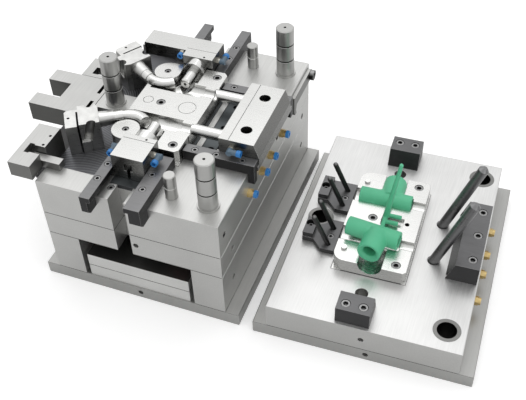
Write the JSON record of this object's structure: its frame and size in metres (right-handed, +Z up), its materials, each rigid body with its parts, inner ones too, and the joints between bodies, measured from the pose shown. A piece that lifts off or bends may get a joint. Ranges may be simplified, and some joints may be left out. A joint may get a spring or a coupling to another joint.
{
  "type": "injection mould",
  "caption": "Opened injection mould for swept pipe tees: a moving half with side slides and swinging cores beside a fixed half with angle pins and a green moulded shot.",
  "frame": {"origin": "centre of the mouth of the knockout bore in the underside of the moving half, on the floor", "axes": "+X across both halves, from the moving half to the fixed half; +Y to the back; +Z up"},
  "size_m": [1.0678, 0.624, 0.414],
  "materials": {
    "ground_plate_steel": "ground",
    "polished_mould_steel": "polished",
    "polished_core_steel": "polished",
    "hardened_pillar_steel": "ground",
    "nitrided_steel": "satin",
    "blackened_steel": "satin",
    "black_oxide_screw_steel": "satin",
    "bright_bracket_steel": "ground",
    "painted_spring_steel": "gloss",
    "grey_fitting_plastic": "satin",
    "blue_collar_plastic": "satin",
    "fitting_brass": "satin",
    "green_polypropylene": "satin"
  },
  "bodies": {
    "mould_base": {"bottom_clamp_plate": "ground_plate_steel", "spacer_block_left": "ground_plate_steel", "spacer_block_right": "ground_plate_steel", "support_pillars": "ground_plate_steel", "return_springs": "painted_spring_steel", "ejector_guide_pins": "hardened_pillar_steel", "support_plate": "ground_plate_steel", "core_plate": "ground_plate_steel", "guide_pillars": "hardened_pillar_steel", "core_insert": "polished_mould_steel", "pivot_discs": "polished_mould_steel", "insert_screw_set": "black_oxide_screw_steel", "plate_screw_set": "black_oxide_screw_steel", "clamp_screw_set": "black_oxide_screw_steel", "front_gibs": "nitrided_steel", "back_gibs": "nitrided_steel", "right_gibs": "nitrided_steel", "gib_screws": "black_oxide_screw_steel", "wear_plates": "nitrided_steel", "left_arm": "ground_plate_steel", "side_blocks": "blackened_steel", "side_brackets": "bright_bracket_steel", "link_bar": "bright_bracket_steel", "water_fittings": "fitting_brass", "water_collars": "blue_collar_plastic", "strap_bolt": "black_oxide_screw_steel", "top_clamp_plate": "ground_plate_steel", "locating_ring": "hardened_pillar_steel", "sprue_bush": "hardened_pillar_steel", "cavity_plate": "ground_plate_steel", "cavity_insert": "polished_mould_steel", "locating_pins": "polished_core_steel", "guide_bushes": "hardened_pillar_steel", "angle_pins": "nitrided_steel", "heel_block": "nitrided_steel", "wedge_block_front": "nitrided_steel", "wedge_block_back": "nitrided_steel", "finger_plates": "nitrided_steel", "cam_fingers": "blackened_steel", "fixed_half_screws": "black_oxide_screw_steel", "moulded_shot": "green_polypropylene"},
    "ejector": {"ejector_base_plate": "ground_plate_steel", "ejector_retainer_plate": "ground_plate_steel", "ejector_plate_screws": "black_oxide_screw_steel", "ejector_pins": "polished_core_steel", "return_pins": "hardened_pillar_steel"},
    "right_slide_unit": {"right_slide": "polished_mould_steel", "right_slide_cores": "polished_core_steel", "right_slide_fitting": "grey_fitting_plastic"},
    "front_slide_unit": {"front_slide": "polished_mould_steel", "front_slide_core": "polished_core_steel", "front_slide_fittings": "grey_fitting_plastic"},
    "back_slide_unit": {"back_slide": "polished_mould_steel", "back_slide_core": "polished_core_steel", "back_slide_fittings": "grey_fitting_plastic"},
    "front_swing_unit": {"swing_block_front": "polished_mould_steel", "swing_core_front": "polished_core_steel"},
    "back_swing_unit": {"swing_block_back": "polished_mould_steel", "swing_core_back": "polished_core_steel"},
    "strap": {"safety_strap": "nitrided_steel"}
  },
  "joints": [
    {"name": "ejector_stroke", "type": "slide", "parent": "mould_base", "child": "ejector", "axis": [0, 0, 1], "range_m": [0, 0.03], "stiffness_N_per_m": 20000, "springref_m": -0.02, "deforming": ["return_springs"]},
    {"name": "right_slide_travel", "type": "slide", "parent": "mould_base", "child": "right_slide_unit", "axis": [1, 0, 0], "range_m": [-0.0715, 0]},
    {"name": "front_slide_travel", "type": "slide", "parent": "mould_base", "child": "front_slide_unit", "axis": [0, 1, 0], "range_m": [-0.08, 0]},
    {"name": "back_slide_travel", "type": "slide", "parent": "mould_base", "child": "back_slide_unit", "axis": [0, 1, 0], "range_m": [0, 0.08]},
    {"name": "front_swing", "type": "hinge", "parent": "mould_base", "child": "front_swing_unit", "pos_m": [-0.076, -0.105, 0.325], "axis": [0, 0, 1], "range_deg": [0, 38]},
    {"name": "back_swing", "type": "hinge", "parent": "mould_base", "child": "back_swing_unit", "pos_m": [-0.076, 0.105, 0.325], "axis": [0, 0, 1], "range_deg": [-38, 0]},
    {"name": "strap_hinge", "type": "hinge", "parent": "mould_base", "child": "strap", "pos_m": [0.2003, 0.262, 0.271], "axis": [1, 0, 0], "range_deg": [-90, 0]}
  ],
  "couplings": [
    {"joint": "back_swing", "follows": "back_slide_travel", "rad_per_m": -8.2902}
  ]
}
